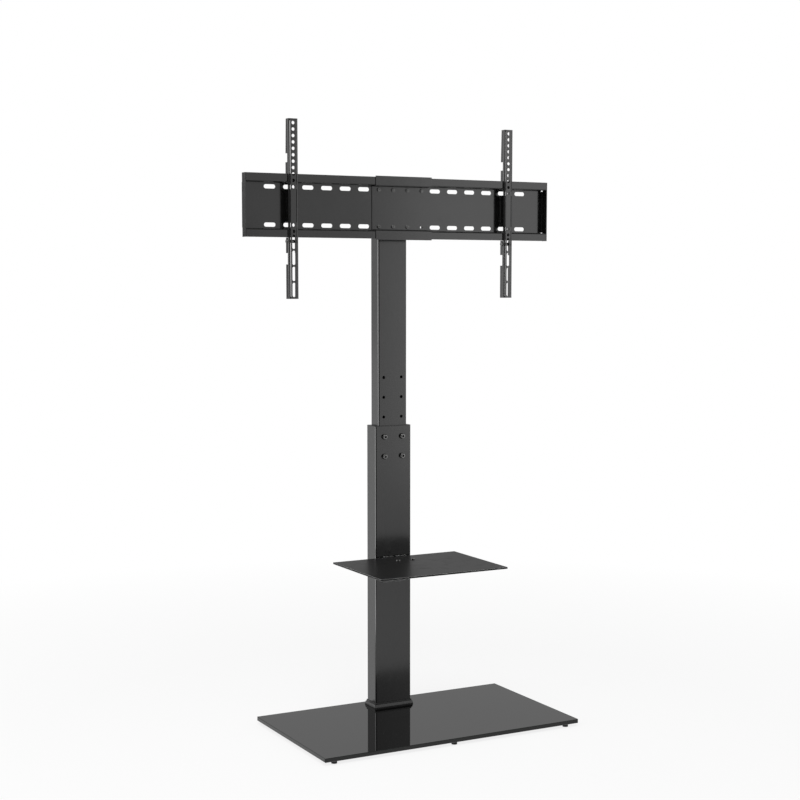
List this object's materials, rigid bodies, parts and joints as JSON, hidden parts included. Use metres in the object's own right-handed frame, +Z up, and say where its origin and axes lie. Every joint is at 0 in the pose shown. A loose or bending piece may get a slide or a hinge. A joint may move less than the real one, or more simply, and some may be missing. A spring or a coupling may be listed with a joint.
{
  "type": "tv stand with mount",
  "caption": "Floor stand for a flat screen: black glass foot, telescopic steel column with a small shelf, and a wide slotted head with sliding hook-on arms.",
  "frame": {"origin": "on the floor, under the middle of the glass foot", "axes": "+Z up; the front, where the screen goes, faces -Y; +X to the right seen from the front"},
  "size_m": [0.843, 0.4, 1.489],
  "materials": {
    "glass_black": "polished black glass",
    "column_paint": "satin black powder coat",
    "shelf_paint": "satin black powder coat",
    "bracket_paint": "satin black powder coat",
    "head_paint": "satin black powder coat",
    "arm_paint": "satin black powder coat",
    "screw_black": "black oxide",
    "zinc": "zinc plated",
    "zinc_plate": "plain steel",
    "plastic_black": "moulded",
    "rubber": "matt"
  },
  "bodies": {
    "stand": {"base_glass": "glass_black", "glass_feet": "rubber", "under_pad": "rubber", "under_plate": "zinc_plate", "base_washers": "zinc", "base_bolts": "zinc", "column_gasket": "rubber", "foot_block": "zinc_plate", "column_collar": "plastic_black", "lower_tube": "column_paint", "top_guide": "plastic_black", "height_screws": "screw_black", "shelf_bracket": "bracket_paint", "bracket_screws": "screw_black", "bracket_nuts": "zinc", "shelf_plate": "shelf_paint", "shelf_screws": "screw_black", "shelf_nuts": "zinc"},
    "mast": {"upper_tube": "column_paint", "weld_nuts": "zinc", "mast_glide": "plastic_black", "mast_top_cap": "plastic_black", "swivel_yoke": "bracket_paint", "yoke_screws": "screw_black", "yoke_nuts": "zinc", "swivel_washers": "plastic_black"},
    "head": {"swivel_bolt": "screw_black", "swivel_nut": "screw_black", "head_backer": "bracket_paint", "left_channel": "head_paint", "right_channel": "head_paint", "centre_sleeve": "head_paint", "splice_screws": "screw_black", "splice_nuts": "zinc"},
    "left_arm": {"left_arm": "arm_paint", "left_lock_screw": "screw_black"},
    "right_arm": {"right_arm": "arm_paint", "right_lock_screw": "screw_black"}
  },
  "joints": [
    {"name": "column_height", "type": "slide", "parent": "stand", "child": "mast", "axis": [0, 0, 1], "range_m": [-0.15, 0]},
    {"name": "head_swivel", "type": "hinge", "parent": "mast", "child": "head", "pos_m": [0, 0.113, 1.285], "axis": [0, 0, 1], "range_deg": [-20, 20]},
    {"name": "left_arm_slide", "type": "slide", "parent": "head", "child": "left_arm", "axis": [1, 0, 0], "range_m": [-0.1, 0.2]},
    {"name": "right_arm_slide", "type": "slide", "parent": "head", "child": "right_arm", "axis": [1, 0, 0], "range_m": [-0.2, 0.1]}
  ]
}
